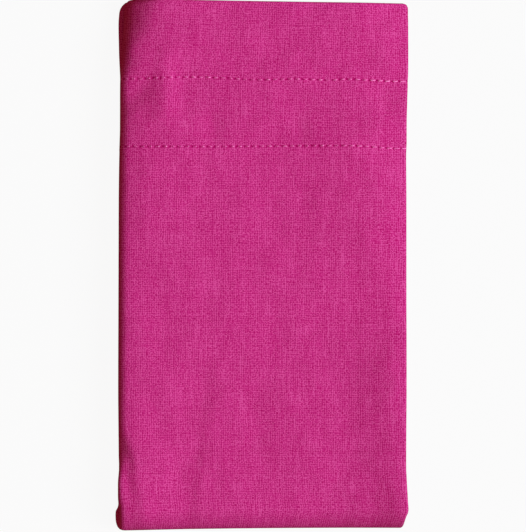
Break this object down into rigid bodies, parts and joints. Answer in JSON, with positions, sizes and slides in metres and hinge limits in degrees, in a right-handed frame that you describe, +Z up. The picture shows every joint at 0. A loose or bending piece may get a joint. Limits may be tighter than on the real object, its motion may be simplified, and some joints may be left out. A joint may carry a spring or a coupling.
{
  "type": "bread bag",
  "caption": "Magenta linen bread bag with a wide topstitched mouth hem, folded lengthwise and then across into a flat packet.",
  "frame": {"origin": "centre of the packet's box, at the surface that it lies on", "axes": "+Y along the packet's length to the bag's mouth, +Z up through its thickness, +X to the right edge, the tighter long fold"},
  "size_m": [0.1158, 0.2092, 0.0179],
  "materials": {
    "linen": "plain-weave linen, dyed magenta, matt with a soft sheen",
    "thread": "pink sewing thread, slightly glossy"
  },
  "bodies": {
    "root": {"front_panel": "linen", "back_panel": "linen"}
  },
  "joints": []
}
